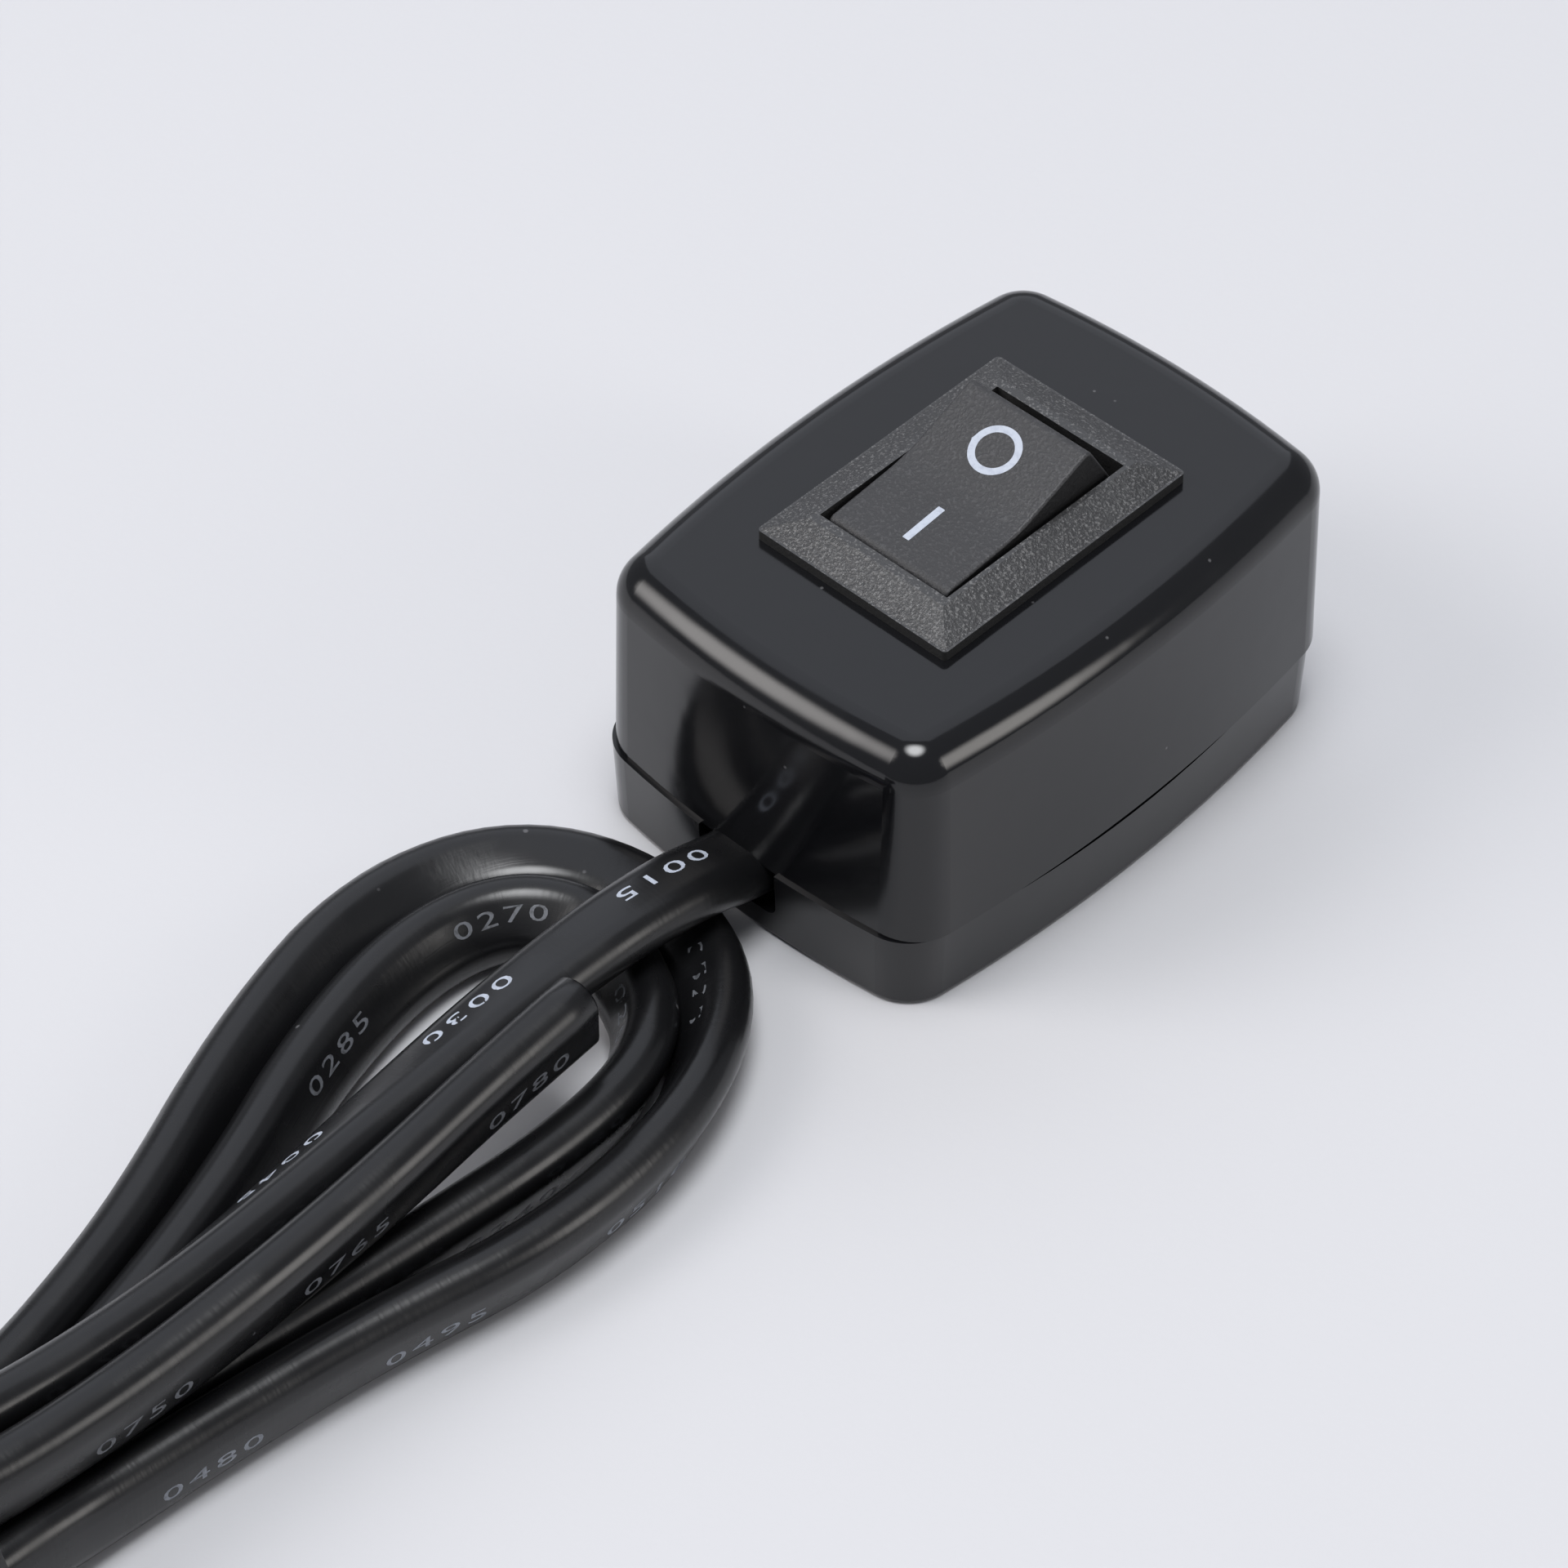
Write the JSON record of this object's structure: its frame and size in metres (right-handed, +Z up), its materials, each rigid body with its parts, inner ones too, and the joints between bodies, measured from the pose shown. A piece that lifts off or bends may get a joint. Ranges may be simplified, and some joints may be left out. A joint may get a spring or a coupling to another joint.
{
  "type": "wired rocker switch",
  "caption": "In-line rocker switch in a glossy black bowed-side plastic case, with a flat twin cable folded into a tied hank.",
  "frame": {"origin": "on the resting surface, under the middle of the case", "axes": "+Z up through the rocker, -Y along the case towards the cable exit, +X to the right seen from the cable"},
  "size_m": [0.0412, 0.1642, 0.0242],
  "materials": {
    "case_black": "glossy moulded black",
    "screw_steel": "zinc plated",
    "frame_black": "fine spark texture",
    "rocker_black": "fine spark texture",
    "spring_steel": "bright wire",
    "plunger_white": "smooth",
    "contact_brass": "bright strip",
    "contact_silver": "silver button",
    "core_brown": "smooth",
    "core_blue": "smooth",
    "solder": "bright",
    "sleeve_black": "satin",
    "cable_black": "satin",
    "tie_black": "satin"
  },
  "bodies": {
    "case": {"top_cover": "case_black", "base": "case_black", "case_screws": "screw_steel", "switch_frame": "frame_black", "centre_terminal": "contact_brass", "end_terminal": "contact_brass", "fixed_contact": "contact_silver", "core_brown": "core_brown", "core_blue": "core_blue", "solder_joints": "solder", "shrink_sleeves": "sleeve_black", "cable_lead": "cable_black", "cable_hank": "cable_black", "cable_tail": "cable_black", "hank_tie": "tie_black"},
    "rocker": {"rocker": "rocker_black", "contact_spring": "spring_steel"},
    "plunger": {"plunger": "plunger_white"},
    "contact_lever": {"contact_seesaw": "contact_brass", "moving_contact": "contact_silver"}
  },
  "joints": [
    {"name": "rocker_tilt", "type": "hinge", "parent": "case", "child": "rocker", "pos_m": [0, 0, 0.0178], "axis": [1, 0, 0], "range_deg": [-27, 0]},
    {"name": "contact_tilt", "type": "hinge", "parent": "case", "child": "contact_lever", "pos_m": [0, 0, 0.0118], "axis": [1, 0, 0], "range_deg": [0, 16]},
    {"name": "plunger_slide", "type": "slide", "parent": "rocker", "child": "plunger", "axis": [0, -0.2334, 0.9724], "range_m": [0, 0.0004], "stiffness_N_per_m": 300, "springref_m": -0.001, "deforming": ["contact_spring"]}
  ],
  "couplings": [
    {"joint": "contact_tilt", "follows": "rocker_tilt", "ratio": -0.59259}
  ]
}
